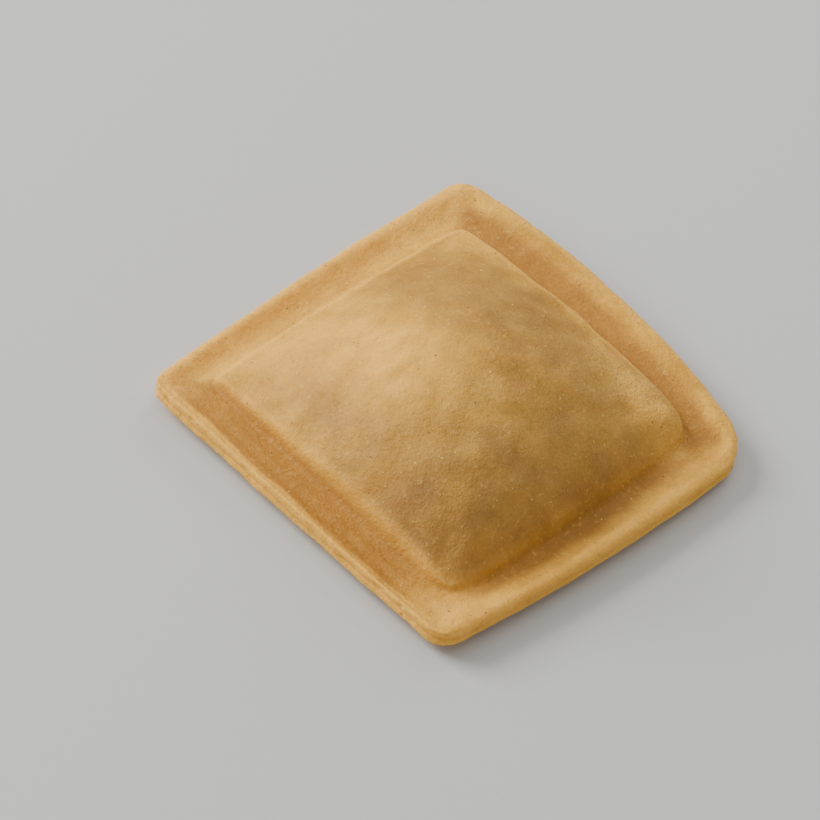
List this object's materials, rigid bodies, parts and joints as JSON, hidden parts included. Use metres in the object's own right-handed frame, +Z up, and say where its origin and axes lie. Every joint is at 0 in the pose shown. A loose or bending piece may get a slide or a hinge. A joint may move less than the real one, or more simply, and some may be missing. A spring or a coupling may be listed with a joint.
{
  "type": "ravioli",
  "caption": "Square piece of filled pasta: a plump domed pillow closed inside a flat border with a raised lip and four unlike rounded corners.",
  "frame": {"origin": "middle of the piece's box, on the surface that it lies on", "axes": "+Z up through the domed side; X and Y along the sides of the square border, with the thick bulging side at +Y"},
  "size_m": [0.0454, 0.0462, 0.0125],
  "materials": {
    "dough": "soft matt pasta dough, slightly moist, pale on the lips and deeper in the grooves"
  },
  "bodies": {
    "root": {"raviolo": "dough"}
  },
  "joints": []
}
